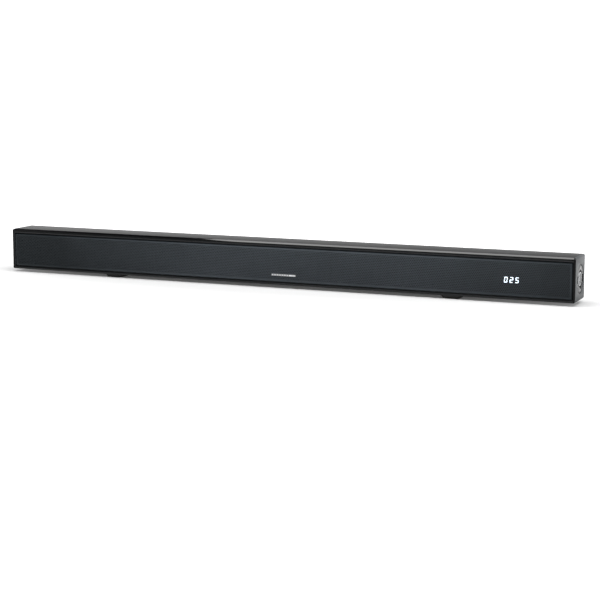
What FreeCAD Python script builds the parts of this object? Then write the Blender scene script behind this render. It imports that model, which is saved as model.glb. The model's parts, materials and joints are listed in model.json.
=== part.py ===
import FreeCAD, Part
import os
import re
import Sketcher
import PartDesign

# A slim wall or shelf soundbar: a moulded cabinet with a front frame, a sheet-steel grille,
# four small drivers, two rear reflex ports, electronics, side buttons and two rubber feet.
# Frame: X along the bar, -Y is the front, Z = 0 is the surface that the feet stand on.

V = FreeCAD.Vector
doc = FreeCAD.newDocument("soundbar")

# ---------------------------------------------------------------- driving dimensions

SIZES = {
    "body_length": 900, "body_depth": 52, "body_height": 63, "foot_height": 4.5,
    "wall": 2.5, "cap_plate": 3, "cap_corner": 2.8, "cap_spigot": 13, "spigot_wall": 1.5,
    "top_sheet": 1.5, "trim_size": 2.5, "frame_depth": 9,
    "lip_height": 3.2, "brow_height": 6, "seat_depth": 4.5, "seat_rim": 3,
    "grille_gap": 1.4, "grille_sheet": 0.8, "grille_setback": 0.3,
    "badge_start": -4, "badge_length": 39.5, "badge_height": 3.4, "badge_thick": 0.3, "badge_rise": 13.3,
    "baffle_thick": 3, "cone_radius": 19, "cutout_radius": 23.2, "flange_radius": 26.5,
    "driver_inner": 225, "driver_outer": 300, "driver_rise": 30.5,
    "port_place": 180, "port_radius": 11, "port_wall": 1.5, "port_length": 34,
    "chamber_inner": 160, "chamber_outer": 334, "panel_thick": 2,
    "display_place": 360, "display_rise": 27.7, "display_width": 36, "display_height": 15,
    "digit_width": 5, "digit_height": 8, "digit_bar": 1.2, "digit_pitch": 8,
    "island_place": 1.5, "island_rise": 30.6, "island_width": 34, "island_height": 41,
    "power_radius": 10, "button_gap": 1.2, "button_travel": 0.8,
    "bay_low": -130, "bay_high": 90, "bay_bottom": 11, "bay_top": 49, "bay_depth": 10,
    "bay_wall": 1.5, "panel_margin": 16, "panel_step": 2, "panel_seam": 0.15,
    "board_thick": 1.6, "board_rise": 17.5,
    "foot_place": 271, "foot_width": 30, "foot_depth": 47, "foot_corner": 4,
    "keyhole_place": 300, "keyhole_rise": 34.5, "keyhole_entry": 4.5, "keyhole_slot": 2.25,
    "keyhole_travel": 9, "screw_radius": 1.5,
}
sheet = doc.addObject("Spreadsheet::Sheet", "sizes")
for row, (word, number) in enumerate(SIZES.items(), 1):
    sheet.set(f"A{row}", word)
    sheet.set(f"B{row}", str(number))
    sheet.setAlias(f"B{row}", word)
doc.recompute()

# The faces of the whole bar, written in the sheet's words.
FRONT, BACK = "(-body_depth / 2)", "(body_depth / 2)"
BOTTOM, TOP = "foot_height", "(foot_height + body_height)"
END = "(body_length / 2)"
SIDE = f"({END} - cap_plate)"
SHELL_TOP = f"({TOP} - top_sheet)"
FRAME_BACK = f"({FRONT} + frame_depth)"
BAFFLE_BACK = f"({FRAME_BACK} + baffle_thick)"
BACK_INSIDE = f"({BACK} - wall)"
FLOOR_INSIDE = f"({BOTTOM} + wall)"
ROOF_INSIDE = f"({SHELL_TOP} - wall)"
SEAT = f"({FRONT} + seat_depth)"
DRIVER_Z = f"({BOTTOM} + driver_rise)"
BOARD_Z = f"({BOTTOM} + board_rise)"
BOARD_TOP = f"({BOARD_Z} + board_thick)"
BAY_FLOOR = f"({BACK} - bay_depth)"
ISLAND_Z = f"({BOTTOM} + island_rise)"
KEY_DECK = f"({END} - 3)"
KEY_BOARD_FACE = f"({KEY_DECK} - 7.6)"
KEY_BOARD_BACK = f"({KEY_BOARD_FACE} - board_thick)"
DISPLAY_Z = f"({BOTTOM} + display_rise)"
KEYHOLE_Z = f"({BOTTOM} + keyhole_rise)"
SCREW_X, SCREW_Y = ("-400", "-200", "0", "200", "400"), "16"

ALIAS = re.compile(r"\b(" + "|".join(SIZES) + r")\b")
finished = []


def bound(text):
    """Write a length in sheet words as an expression that FreeCAD can bind."""
    return ALIAS.sub(r"sizes.\1", str(text))


def number(text):
    """The present value of a length in sheet words."""
    return float(sheet.evalExpression(bound(text)))


def keep(solid, label):
    """Mark a solid as one finished sub-part, named after its file."""
    solid.Label = label
    finished.append(solid)
    return solid


# ---------------------------------------------------------------- Part primitives and booleans

AXES = {"x": V(1, 0, 0), "y": V(0, 1, 0), "z": V(0, 0, 1)}


def block(x, y, z):
    """A box between a low and a high place on each axis."""
    solid = doc.addObject("Part::Box", "block")
    for side, axis, (low, high) in (("Length", "x", x), ("Width", "y", y), ("Height", "z", z)):
        solid.setExpression(side, bound(f"({high}) - ({low})"))
        solid.setExpression("Placement.Base." + axis, bound(low))
    return solid


def rod(axis, span, centre, radius):
    """A cylinder along one axis from low to high, its centre given on the other two axes."""
    solid = doc.addObject("Part::Cylinder", "rod")
    low, high = span
    solid.setExpression("Height", bound(f"({high}) - ({low})"))
    solid.setExpression("Radius", bound(radius))
    solid.Placement.Rotation = FreeCAD.Rotation(V(0, 0, 1), AXES[axis])
    solid.setExpression("Placement.Base." + axis, bound(low))
    for other, place in zip([name for name in "xyz" if name != axis], centre):
        solid.setExpression("Placement.Base." + other, bound(place))
    return solid


def join(solids):
    """Several solids as one object; solids that do not touch stay separate in it."""
    group = doc.addObject("Part::MultiFuse", "join")
    group.Shapes = list(solids)
    return group


def cut(base, tools):
    """The base with every tool taken out of it."""
    tool = tools[0] if len(tools) == 1 else join(tools)
    result = doc.addObject("Part::Cut", "cut")
    result.Base, result.Tool = base, tool
    return result


def common(first, second):
    """What two solids share."""
    result = doc.addObject("Part::Common", "common")
    result.Base, result.Tool = first, second
    return result


# ---------------------------------------------------------------- sketched bodies

def sketch(body, role, offset, loops):
    """A sketch on one origin plane of its own body.

    A loop is a list of corner points, or ("circle", u, v, radius). On XZ_Plane the sketch
    faces the front (-Y), on YZ_Plane it faces +X and on XY_Plane it faces up.
    """
    flat = body.newObject("Sketcher::SketchObject", "outline")
    flat.AttachmentSupport = [(next(o for o in body.Origin.OriginFeatures if o.Role == role), "")]
    flat.MapMode = "FlatFace"
    flat.setExpression("AttachmentOffset.Base.z", bound(offset))
    for loop in loops:
        if loop[0] == "circle":
            _, u, v, radius = loop
            circle = Part.Circle(V(number(u), number(v), 0), V(0, 0, 1), number(radius))
            item = flat.addGeometry(circle, False)
            places = (("DistanceX", 3, u), ("DistanceY", 3, v))
            rim = flat.addConstraint(Sketcher.Constraint("Radius", item, number(radius)))
            flat.setExpression(f"Constraints[{rim}]", bound(radius))
            pinned = [(item, places)]
        else:
            spots = [V(number(u), number(v), 0) for u, v in loop]
            items = [flat.addGeometry(Part.LineSegment(a, b), False)
                     for a, b in zip(spots, spots[1:] + spots[:1])]
            for item, following in zip(items, items[1:] + items[:1]):
                flat.addConstraint(Sketcher.Constraint("Coincident", item, 2, following, 1))
            pinned = [(item, (("DistanceX", 1, u), ("DistanceY", 1, v)))
                      for item, (u, v) in zip(items, loop)]
        for item, places in pinned:
            for kind, point, place in places:
                pin = flat.addConstraint(Sketcher.Constraint(kind, item, point, number(place)))
                flat.setExpression(f"Constraints[{pin}]", bound(place))
    return flat


def extrude(role, span, loops, name="body"):
    """A PartDesign body padded between two places along the axis that its plane faces."""
    body = doc.addObject("PartDesign::Body", name)
    low, high = span
    flat = sketch(body, role, f"-({high})" if role == "XZ_Plane" else low, loops)
    pad = body.newObject("PartDesign::Pad", "pad")
    pad.Profile = flat
    pad.setExpression("Length", bound(f"({high}) - ({low})"))
    doc.recompute()
    return body


def carve(body, role, span, loops):
    """A pocket between two places along the axis that its plane faces."""
    before = body.Shape.Volume
    low, high = span
    flat = sketch(body, role, f"-({low})" if role == "XZ_Plane" else high, loops)
    pocket = body.newObject("PartDesign::Pocket", "pocket")
    pocket.Profile = flat
    pocket.setExpression("Length", bound(f"({high}) - ({low})"))
    doc.recompute()
    if body.Shape.Volume >= before - 0.1:
        raise RuntimeError(f"a pocket in {body.Name} cut nothing")
    return body


def round_edges(body, radius, wanted):
    """A fillet on the edges whose middle point and direction pass a test."""
    tip = body.Tip
    names = []
    for index, edge in enumerate(tip.Shape.Edges, 1):
        if edge.Length < 1e-6:
            continue
        middle = edge.valueAt((edge.FirstParameter + edge.LastParameter) / 2)
        along = edge.tangentAt((edge.FirstParameter + edge.LastParameter) / 2)
        if wanted(middle, along):
            names.append(f"Edge{index}")
    if not names:
        raise RuntimeError(f"no edge to round on {body.Name}")
    fillet = body.newObject("PartDesign::Fillet", "rounding")
    fillet.Base = (tip, names)
    fillet.setExpression("Radius", bound(radius))
    doc.recompute()
    return body


def spin(outline, centre):
    """A body turned about an axis along Y; the outline is (radius, y) corner points."""
    body = doc.addObject("PartDesign::Body", "turned")
    flat = sketch(body, "XY_Plane", "0", [outline])
    turn = body.newObject("PartDesign::Revolution", "turn")
    turn.Profile = flat
    turn.ReferenceAxis = (flat, ["V_Axis"])
    turn.Angle = 360
    body.setExpression("Placement.Base.x", bound(centre[0]))
    body.setExpression("Placement.Base.z", bound(centre[1]))
    doc.recompute()
    return body


def rectangle(u, v):
    """The four corners of a rectangle between low and high places."""
    return [(u[0], v[0]), (u[1], v[0]), (u[1], v[1]), (u[0], v[1])]


def near(value, text):
    """True when a coordinate is at a place written in sheet words."""
    return abs(value - number(text)) < 0.02


# ---------------------------------------------------------------- cabinet

def cabinet_outline():
    """The side profile of the shell: it is open to the front and flat under the top sheet."""
    return [(FRAME_BACK, BOTTOM), (BACK, BOTTOM), (BACK, SHELL_TOP), (FRAME_BACK, SHELL_TOP),
            (FRAME_BACK, ROOF_INSIDE), (BACK_INSIDE, ROOF_INSIDE),
            (BACK_INSIDE, FLOOR_INSIDE), (FRAME_BACK, FLOOR_INSIDE)]


def make_cabinet():
    body = extrude("YZ_Plane", (f"-{SIDE}", SIDE), [cabinet_outline()], "cabinet")
    round_edges(body, 6, lambda p, d: abs(d.x) > 0.9 and near(p.y, BACK) and near(p.z, BOTTOM))
    back = (BACK_INSIDE + " - 1", BACK + " + 1")
    carve(body, "XZ_Plane", back, [panel_outline("0")])
    carve(body, "XZ_Plane", back, [("circle", f"{side}port_place", DRIVER_Z, "port_radius + port_wall")
                                   for side in ("-", "")])
    carve(body, "XZ_Plane", back, [("circle", f"{side}keyhole_place", KEYHOLE_Z, "keyhole_entry")
                                   for side in ("-", "")])
    carve(body, "XY_Plane", (f"{BOTTOM} - 1", f"{FLOOR_INSIDE} + 1"),
          [("circle", place, SCREW_Y, "screw_radius") for place in SCREW_X])
    for side in ("-", ""):
        middle = f"{side}keyhole_place"
        slot = rectangle((f"{middle} - keyhole_slot", f"{middle} + keyhole_slot"),
                         (KEYHOLE_Z, f"{KEYHOLE_Z} + keyhole_travel"))
        carve(body, "XZ_Plane", back, [slot])
        carve(body, "XZ_Plane", back, [("circle", middle, f"{KEYHOLE_Z} + keyhole_travel",
                                        "keyhole_slot")])
    keep(body, "cabinet_shell")


def panel_outline(seam):
    """The removable panel in the middle of the back, smaller all round by the seam."""
    return rectangle((f"bay_low - panel_margin + {seam}", f"bay_high + panel_margin - {seam}"),
                     (f"{FLOOR_INSIDE} + panel_step + {seam}", f"{ROOF_INSIDE} - panel_step - {seam}"))


def bay_outline(inset):
    """The mouth of the socket bay, smaller all round by the inset."""
    return rectangle((f"bay_low + {inset}", f"bay_high - {inset}"),
                     (f"{BOTTOM} + bay_bottom + {inset}", f"{BOTTOM} + bay_top - {inset}"))


def make_back_panel():
    body = extrude("XZ_Plane", (BACK_INSIDE, BACK), [panel_outline("panel_seam")], "back_panel")
    carve(body, "XZ_Plane", (f"{BACK_INSIDE} - 1", f"{BACK} + 1"), [bay_outline("0")])
    keep(body, "back_panel")


def make_bay_frame():
    """The four walls of the socket bay."""
    body = extrude("XZ_Plane", (BAY_FLOOR, BACK), [bay_outline("0")], "bay_frame")
    carve(body, "XZ_Plane", (f"{BAY_FLOOR} - 1", f"{BACK} + 1"), [bay_outline("bay_wall")])
    keep(body, "bay_frame")


def make_top_sheet():
    body = extrude("YZ_Plane", (f"-{SIDE}", SIDE),
                   [rectangle((f"{FRONT} + trim_size", BACK), (SHELL_TOP, TOP))], "top_sheet")
    round_edges(body, 1.2, lambda p, d: abs(d.x) > 0.9 and near(p.y, BACK) and near(p.z, TOP))
    keep(body, "top_sheet")


def make_top_trim():
    """The glossy bevelled strip along the front of the top."""
    profile = [(f"{FRONT} + trim_size", TOP), (f"{FRONT} + trim_size", f"{TOP} - trim_size - 1"),
               (FRONT, f"{TOP} - trim_size - 1"), (FRONT, f"{TOP} - trim_size")]
    keep(extrude("YZ_Plane", (f"-{SIDE}", SIDE), [profile], "top_trim"), "top_trim")


def make_front_frame():
    """The rim round the grille, with a seam line under the bevelled strip."""
    step = f"{FRONT} + trim_size"
    profile = [(FRONT, BOTTOM), (FRAME_BACK, BOTTOM), (FRAME_BACK, SHELL_TOP), (step, SHELL_TOP),
               (step, f"{TOP} - trim_size - 1"), (FRONT, f"{TOP} - trim_size - 1")]
    body = extrude("YZ_Plane", (f"-{SIDE}", SIDE), [profile], "front_frame")
    round_edges(body, 1.2, lambda p, d: abs(d.x) > 0.9 and near(p.y, FRONT) and near(p.z, BOTTOM))
    low, high = f"{BOTTOM} + lip_height", f"{TOP} - brow_height"
    carve(body, "XZ_Plane", (f"{FRONT} - 1", SEAT), [rectangle((f"-{SIDE} - 1", f"{SIDE} + 1"), (low, high))])
    carve(body, "XZ_Plane", (SEAT, f"{FRAME_BACK} + 1"),
          [rectangle((f"-{SIDE} + 10", f"{SIDE} - 10"), (f"{low} + seat_rim", f"{high} - seat_rim"))])
    groove = rectangle((f"-{SIDE} - 1", f"{SIDE} + 1"), (f"{TOP} - 4.2", f"{TOP} - trim_size - 1"))
    carve(body, "XZ_Plane", (f"{FRONT} - 1", f"{FRONT} + 0.8"), [groove])
    keep(body, "front_frame")


def make_baffle():
    span = (FRAME_BACK, BAFFLE_BACK)
    body = extrude("XZ_Plane", span, [rectangle((f"-{SIDE} + cap_spigot + 1", f"{SIDE} - cap_spigot - 1"),
                                                (FLOOR_INSIDE, ROOF_INSIDE))], "baffle")
    through = (f"{FRAME_BACK} - 1", f"{BAFFLE_BACK} + 1")
    carve(body, "XZ_Plane", through, [("circle", place, DRIVER_Z, "cutout_radius")
                                      for place in driver_places()])
    window = rectangle(("display_place - display_width / 2", "display_place + display_width / 2"),
                       (f"{DISPLAY_Z} - display_height / 2", f"{DISPLAY_Z} + display_height / 2"))
    carve(body, "XZ_Plane", through, [window])
    carve(body, "XZ_Plane", through, [("circle", "display_place + 27", DISPLAY_Z, "4")])
    keep(body, "front_baffle")


def make_grille():
    """A steel tray: a flat front with its four edges folded back to the seat."""
    front, back = f"{FRONT} + grille_setback", SEAT
    across = (f"-{SIDE} + grille_gap", f"{SIDE} - grille_gap")
    upright = (f"{BOTTOM} + lip_height + grille_gap", f"{TOP} - brow_height - grille_gap")
    body = extrude("XZ_Plane", (front, back), [rectangle(across, upright)], "grille")
    inner = rectangle((f"{across[0]} + grille_sheet", f"{across[1]} - grille_sheet"),
                      (f"{upright[0]} + grille_sheet", f"{upright[1]} - grille_sheet"))
    carve(body, "XZ_Plane", (f"{front} + grille_sheet", f"{back} + 1"), [inner])
    round_edges(body, 0.6, lambda p, d: abs(d.y) < 0.1 and near(p.y, front))
    keep(body, "grille")


def make_badge():
    """A blank nameplate low on the grille, near the middle."""
    face = f"{FRONT} + grille_setback"
    rise = f"{BOTTOM} + badge_rise"
    bar = extrude("XZ_Plane", (f"{face} - badge_thick", face),
                  [rectangle(("badge_start", "badge_start + badge_length"),
                             (rise, f"{rise} + badge_height"))], "badge")
    keep(bar, "badge")


def make_end_cap(label, sign):
    """An end plate with a spigot inside the shell; the right one has the button opening."""
    outer, inner = f"{sign}{END}", f"{sign}{SIDE}"
    span = (outer, inner) if sign == "-" else (inner, outer)
    profile = [(FRONT, BOTTOM), (BACK, BOTTOM), (BACK, TOP), (f"{FRONT} + trim_size", TOP),
               (FRONT, f"{TOP} - trim_size")]
    body = extrude("YZ_Plane", span, [profile], "end_cap")
    round_edges(body, 6, lambda p, d: abs(d.x) > 0.9 and near(p.y, BACK) and near(p.z, BOTTOM))
    round_edges(body, 1.2, lambda p, d: abs(d.x) > 0.9 and near(p.y, FRONT) and near(p.z, BOTTOM))
    round_edges(body, 1.2, lambda p, d: abs(d.x) > 0.9 and near(p.y, BACK) and near(p.z, TOP))
    face = extrude("XZ_Plane", (FRONT, BACK), [rectangle(span, (BOTTOM, TOP))], "cap_face")
    round_edges(face, "cap_corner", lambda p, d: abs(d.y) > 0.9 and near(p.x, outer))
    plate = common(body, face)
    deep = f"{inner} {'+' if sign == '-' else '-'} cap_spigot"
    ring = (inner, deep) if sign == "-" else (deep, inner)
    y, z = (BAFFLE_BACK, BACK_INSIDE), (FLOOR_INSIDE, ROOF_INSIDE)
    hollow = ((f"{y[0]} + spigot_wall", f"{y[1]} - spigot_wall"),
              (f"{z[0]} + spigot_wall", f"{z[1]} - spigot_wall"))
    spigot = cut(block(ring, y, z), [block((f"{ring[0]} - 1", f"{ring[1]} + 1"), *hollow)])
    rails = [] if sign else [block((f"{KEY_BOARD_BACK} - 2", KEY_BOARD_BACK), (y[0], y[1]),
                                   (f"{ISLAND_Z} {side} 18 - 2", f"{ISLAND_Z} {side} 18 + 2")) for side in "+-"]
    whole = join([plate, spigot] + rails)
    if not sign:
        whole = cut(whole, [oval((f"{END} - 5", f"{END} + 1"), "0")])
    keep(whole, label)


# ---------------------------------------------------------------- buttons at the right end

def oval(span, inset):
    """An upright rounded slot shape on the right end, smaller all round by the inset."""
    radius = f"(island_width / 2 - ({inset}))"
    reach = "(island_height - island_width) / 2"
    ends = [rod("x", span, ("island_place", f"{ISLAND_Z} {side} {reach}"), radius) for side in "+-"]
    middle = block(span, (f"island_place - {radius}", f"island_place + {radius}"),
                   (f"{ISLAND_Z} - {reach}", f"{ISLAND_Z} + {reach}"))
    return join(ends + [middle])


def make_controls():
    """A dished bezel, a round power button and a crescent above and below it."""
    face = f"({END} - 0.4)"
    deck = KEY_DECK
    bezel = cut(oval((f"{deck} - 1.4", face), "0.05"), [oval((deck, END), "1")])
    seats = rod("x", (f"{deck} - 2", END), ("island_place", ISLAND_Z), "5")
    stems = [rod("x", (f"{deck} - 2", END), ("island_place", f"{ISLAND_Z} {side} 15.5"), "2.5")
             for side in "+-"]
    keep(cut(bezel, [seats] + stems), "button_bezel")

    stroke = "(button_travel + 0.1)"
    under = f"({deck} + {stroke})"
    top = f"({END} - 0.3)"
    power = join([rod("x", (under, top), ("island_place", ISLAND_Z), "power_radius"),
                  rod("x", (f"{deck} - 3.6", under), ("island_place", ISLAND_Z), "4.6")])
    keep(power, "button_power")
    for label, side in (("button_volume_up", "+"), ("button_volume_down", "-")):
        ring = rod("x", (f"{under} - 1", END), ("island_place", ISLAND_Z), "power_radius + button_gap")
        near_end, far_end = f"{ISLAND_Z} {side} 5", f"{ISLAND_Z} {side} 30"
        half = (near_end, far_end) if side == "+" else (far_end, near_end)
        limit = block((under, top), ("island_place - 30", "island_place + 30"), half)
        crescent = cut(common(oval((under, top), "1.4"), limit), [ring])
        stem = rod("x", (f"{deck} - 3.6", f"{under} + 0.5"),
                   ("island_place", f"{ISLAND_Z} {side} 15.5"), "2.1")
        keep(join([crescent, stem]), label)

    board_face = KEY_BOARD_FACE
    board = block((KEY_BOARD_BACK, board_face),
                  ("island_place - 13", "island_place + 13"), (f"{ISLAND_Z} - 22", f"{ISLAND_Z} + 22"))
    keep(board, "key_board")
    switches = []
    for offset in ("+ 15.5", "+ 0", "- 15.5"):
        centre = f"{ISLAND_Z} {offset}"
        switches.append(block((board_face, f"{board_face} + 2.4"),
                              ("island_place - 3", "island_place + 3"), (f"{centre} - 3", f"{centre} + 3")))
        switches.append(rod("x", (f"{board_face} + 2.4", f"{deck} - 4.6"), ("island_place", centre), "1.6"))
    keep(join(switches), "key_switches")


# ---------------------------------------------------------------- drivers, ports, chambers

def driver_places():
    return ["-driver_outer", "-driver_inner", "driver_inner", "driver_outer"]


def make_drivers():
    """Four full-range drivers held behind the baffle: basket, magnet, cone and surround."""
    back = BAFFLE_BACK
    for count, place in enumerate(driver_places(), 1):
        centre = (place, DRIVER_Z)
        basket = [("cutout_radius", back), ("flange_radius", back), ("flange_radius", f"{back} + 2"),
                  ("flange_radius - 2", f"{back} + 2"), ("18.5", f"{back} + 15"), ("18.5", f"{back} + 17"),
                  ("9", f"{back} + 17"), ("9", f"{back} + 15.8"), ("17", f"{back} + 15.8"),
                  ("17", f"{back} + 14.8"), ("cutout_radius", f"{back} + 2.5")]
        keep(spin(basket, centre), f"driver{count}_basket")
        magnet = [("0", f"{back} + 29"), ("0", f"{back} + 17"), ("6.2", f"{back} + 17"),
                  ("6.2", f"{back} + 26"), ("7.6", f"{back} + 26"), ("7.6", f"{back} + 17"),
                  ("18", f"{back} + 17"), ("18", f"{back} + 27"), ("16", f"{back} + 29")]
        keep(spin(magnet, centre), f"driver{count}_magnet")
        cone = [("0", f"{back} + 6"), ("5", f"{back} + 6.8"), ("8", f"{back} + 8.4"),
                ("cone_radius", f"{back} + 0.4"), ("cone_radius", f"{back} + 1.2"),
                ("7.2", f"{back} + 10.4"), ("7.2", f"{back} + 23"), ("6.6", f"{back} + 23"),
                ("6.6", f"{back} + 9.4"), ("0", f"{back} + 8.5")]
        keep(spin(cone, centre), f"driver{count}_cone")
        ring = [("cone_radius + 0.3", f"{back} + 0.2"), ("cone_radius + 1.2", f"{back} - 1.2"),
                ("cutout_radius - 0.9", f"{back} - 1.2"), ("cutout_radius", f"{back} + 0.2"),
                ("cutout_radius", f"{back} + 1"), ("cone_radius + 0.3", f"{back} + 1")]
        keep(spin(ring, centre), f"driver{count}_surround")


def make_ports():
    """Two reflex tubes that open at the back."""
    for label, place in (("port_tube_left", "-port_place"), ("port_tube_right", "port_place")):
        outer = "port_radius + port_wall"
        tube = [("port_radius", f"{BACK} - port_length"), (outer, f"{BACK} - port_length"),
                (outer, f"{BACK_INSIDE} - 1.5"), (f"{outer} + 2.5", f"{BACK_INSIDE} - 1.5"),
                (f"{outer} + 2.5", BACK_INSIDE), (outer, BACK_INSIDE), (outer, BACK),
                ("port_radius + 1", BACK), ("port_radius", f"{BACK} - 2")]
        keep(spin(tube, (place, DRIVER_Z)), label)


def make_chambers():
    """Walls between the speaker chambers and felt pads on the back wall."""
    walls = [block((f"{place} - panel_thick / 2", f"{place} + panel_thick / 2"),
                   (BAFFLE_BACK, BACK_INSIDE), (FLOOR_INSIDE, ROOF_INSIDE))
             for place in ("-chamber_outer", "-chamber_inner", "chamber_inner", "chamber_outer")]
    keep(join(walls), "chamber_walls")
    pads = [block(span, (f"{BACK_INSIDE} - 4", BACK_INSIDE), (f"{FLOOR_INSIDE} + 4", f"{ROOF_INSIDE} - 4"))
            for span in (("-driver_outer + 22", "-driver_inner + 15"),
                         ("driver_inner - 15", "driver_outer - 22"))]
    keep(join(pads), "damping_pads")


# ---------------------------------------------------------------- electronics

def make_boards():
    """Two boards on standoffs, with what is soldered on them."""
    spans = {"power": ("-150", "-62"), "main": ("-56", "80")}
    front, back = f"{BAFFLE_BACK} + 2", "11.5"
    posts, screws = [], []
    for label, (low, high) in spans.items():
        keep(block((low, high), (front, back), (BOARD_Z, BOARD_TOP)), f"{label}_board")
        for x in (f"{low} + 4", f"{high} - 4"):
            for y in (f"{front} + 4", f"{back} - 9"):
                posts.append(rod("z", (FLOOR_INSIDE, BOARD_Z), (x, y), "2.5"))
                screws.append(rod("z", (BOARD_TOP, f"{BOARD_TOP} + 1.6"), (x, y), "2.6"))
    keep(join(posts), "board_standoffs")
    keep(join(screws), "board_screws")
    tall = [block(("-134", "-110"), (f"{front} + 1", f"{front} + 20"), (BOARD_TOP, f"{BOARD_TOP} + 20")),
            rod("z", (BOARD_TOP, f"{BOARD_TOP} + 24"), ("-94", f"{front} + 6.5"), "5.5"),
            rod("z", (BOARD_TOP, f"{BOARD_TOP} + 16"), ("-78", f"{front} + 6.5"), "5"),
            block(("-140", "-137"), (f"{front} + 1", f"{front} + 16"), (BOARD_TOP, f"{BOARD_TOP} + 18"))]
    keep(join(tall), "power_board_parts")
    fins = [block((f"{-20 + 5 * count}", f"{-18.4 + 5 * count}"), (f"{front} + 1", f"{front} + 13"),
                  (f"{BOARD_TOP} + 2.9", f"{BOARD_TOP} + 14")) for count in range(8)]
    sink = block(("-20", "18"), (f"{front} + 1", f"{front} + 13"), (f"{BOARD_TOP} + 1", f"{BOARD_TOP} + 3"))
    chip = block(("-12", "10"), (f"{front} + 2", f"{front} + 12"), (BOARD_TOP, f"{BOARD_TOP} + 1"))
    coils = [rod("z", (BOARD_TOP, f"{BOARD_TOP} + 9"), (x, f"{front} + 6"), "4.5") for x in ("34", "46", "58")]
    keep(join(fins + [sink, chip] + coils), "main_board_parts")


def make_display():
    """A small numeric display and the remote-control eye, on a board behind the baffle."""
    board = block(("display_place - 20", "display_place + 34"), (f"{BAFFLE_BACK} + 2", f"{BAFFLE_BACK} + 3.6"),
                  (f"{DISPLAY_Z} - 13", f"{DISPLAY_Z} + 13"))
    keep(board, "display_board")
    face = f"({SEAT} + 1)"
    module = block(("display_place - display_width / 2 + 0.3", "display_place + display_width / 2 - 0.3"),
                   (face, f"{BAFFLE_BACK} + 2"),
                   (f"{DISPLAY_Z} - display_height / 2 + 0.3", f"{DISPLAY_Z} + display_height / 2 - 0.3"))
    keep(module, "display_module")
    bars = []
    for place in ("-1", "0", "1"):
        middle = f"(display_place + {place} * digit_pitch)"
        for rise in ("-1", "0", "1"):
            level = f"({DISPLAY_Z} + {rise} * (digit_height - digit_bar) / 2)"
            across = (f"{middle} - digit_width / 2 + digit_bar", f"{middle} + digit_width / 2 - digit_bar")
            bars.append(block(across, (f"{face} - 0.3", face),
                              (f"{level} - digit_bar / 2", f"{level} + digit_bar / 2")))
        for side in ("-", "+"):
            edge = f"({middle} {side} (digit_width - digit_bar) / 2)"
            for low, high in ((f"{DISPLAY_Z} + 0.5", f"{DISPLAY_Z} + digit_height / 2 - digit_bar"),
                              (f"{DISPLAY_Z} - digit_height / 2 + digit_bar", f"{DISPLAY_Z} - 0.5")):
                bars.append(block((f"{edge} - digit_bar / 2", f"{edge} + digit_bar / 2"),
                                  (f"{face} - 0.3", face), (low, high)))
    keep(join(bars), "display_digits")
    eye = join([rod("y", (f"{SEAT} + 1.5", f"{BAFFLE_BACK} + 2"), ("display_place + 27", DISPLAY_Z), "2.6"),
                block(("display_place + 23", "display_place + 31"),
                      (f"{BAFFLE_BACK} + 0.2", f"{BAFFLE_BACK} + 2"),
                      (f"{DISPLAY_Z} - 4", f"{DISPLAY_Z} + 4"))])
    keep(eye, "remote_eye")


# ---------------------------------------------------------------- rear sockets

SOCKET_X = {"mains": "-95", "hdmi": "-42", "optical": "-8", "usb": "24", "aux": "56"}
SOCKET_BACK = BAY_FLOOR


def make_socket_panel():
    """The plate at the bottom of the bay, with one opening for each socket."""
    floor = (f"{BAY_FLOOR} - 2", BAY_FLOOR)
    plate = block(("bay_low", "bay_high"), floor, (f"{BOTTOM} + bay_bottom", f"{BOTTOM} + bay_top"))
    through = (f"{floor[0]} - 1", f"{BAY_FLOOR} + 1")
    holes = [block((f"{SOCKET_X['mains']} - 12.1", f"{SOCKET_X['mains']} + 12.1"), through,
                   (BOARD_TOP, f"{BOARD_TOP} + 12.1")),
             block((f"{SOCKET_X['hdmi']} - 7.6", f"{SOCKET_X['hdmi']} + 7.6"), through,
                   (BOARD_TOP, f"{BOARD_TOP} + 6.1")),
             block((f"{SOCKET_X['optical']} - 5.1", f"{SOCKET_X['optical']} + 5.1"), through,
                   (BOARD_TOP, f"{BOARD_TOP} + 11.1")),
             block((f"{SOCKET_X['usb']} - 6.7", f"{SOCKET_X['usb']} + 6.7"), through,
                   (BOARD_TOP, f"{BOARD_TOP} + 5.9")),
             rod("y", through, (SOCKET_X["aux"], f"{BOARD_TOP} + 5"), "4.1")]
    keep(cut(plate, holes), "socket_panel")


def make_mains_inlet():
    """A two-pin figure-of-eight mains inlet."""
    x = SOCKET_X["mains"]
    axis = f"{BOARD_TOP} + 6"
    body = block((f"{x} - 12", f"{x} + 12"), (f"{SOCKET_BACK} - 14", SOCKET_BACK),
                 (BOARD_TOP, f"{BOARD_TOP} + 12"))
    well = (f"{SOCKET_BACK} - 11", f"{SOCKET_BACK} + 1")
    lobes = [rod("y", well, (f"{x} {side} 4.3", axis), "4.6") for side in "+-"]
    waist = block((f"{x} - 4.3", f"{x} + 4.3"), well, (f"{axis} - 3.2", f"{axis} + 3.2"))
    keep(cut(body, lobes + [waist]), "mains_inlet")
    pins = [rod("y", (f"{SOCKET_BACK} - 11", f"{SOCKET_BACK} - 2"), (f"{x} {side} 4.3", axis), "1.15")
            for side in "+-"]
    keep(join(pins), "mains_pins")


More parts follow.
